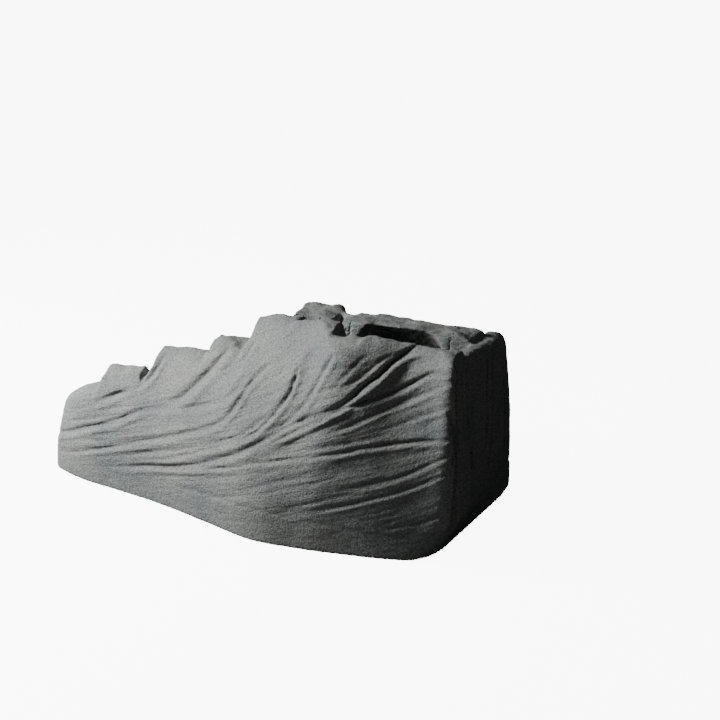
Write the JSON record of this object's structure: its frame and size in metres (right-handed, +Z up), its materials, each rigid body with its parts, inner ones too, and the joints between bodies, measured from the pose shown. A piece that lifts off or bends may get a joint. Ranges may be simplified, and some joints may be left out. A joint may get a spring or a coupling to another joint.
{
  "type": "artificial rock stream head",
  "caption": "Hollow sand-faced resin rock that starts a garden stream: spring niche with a flanged hose connector, a pool and a terraced channel down to a low outlet.",
  "frame": {"origin": "centre of the overall box at the level of the base rim, on the ground", "axes": "+X to the tall end with the spring pool, -X to the low outlet, -Y to the ridged front, +Z up"},
  "size_m": [0.904, 0.466, 0.392],
  "materials": {
    "rock_resin": "matt sand-textured grey resin rock face, slightly warmer on the tops",
    "connector_white": "satin translucent bluish-white moulded plastic",
    "gasket_rubber": "matt black sealing rubber",
    "laminate": "rough glass-fibre laminate, resin rich, inside face"
  },
  "bodies": {
    "root": {"tray_outlet": "rock_resin", "tray_lower": "rock_resin", "tray_middle": "rock_resin", "tray_upper": "rock_resin", "tray_bend": "rock_resin", "tray_gate": "rock_resin", "tray_pool": "rock_resin", "tray_niche": "rock_resin", "niche_hood": "rock_resin", "rock_shell": "rock_resin", "hose_connector": "connector_white", "lock_nut": "connector_white", "flange_gasket": "gasket_rubber", "rear_washer": "gasket_rubber", "backing_plate": "laminate", "rib_outlet": "laminate", "rib_middle": "laminate", "rib_pool": "laminate"}
  },
  "joints": []
}
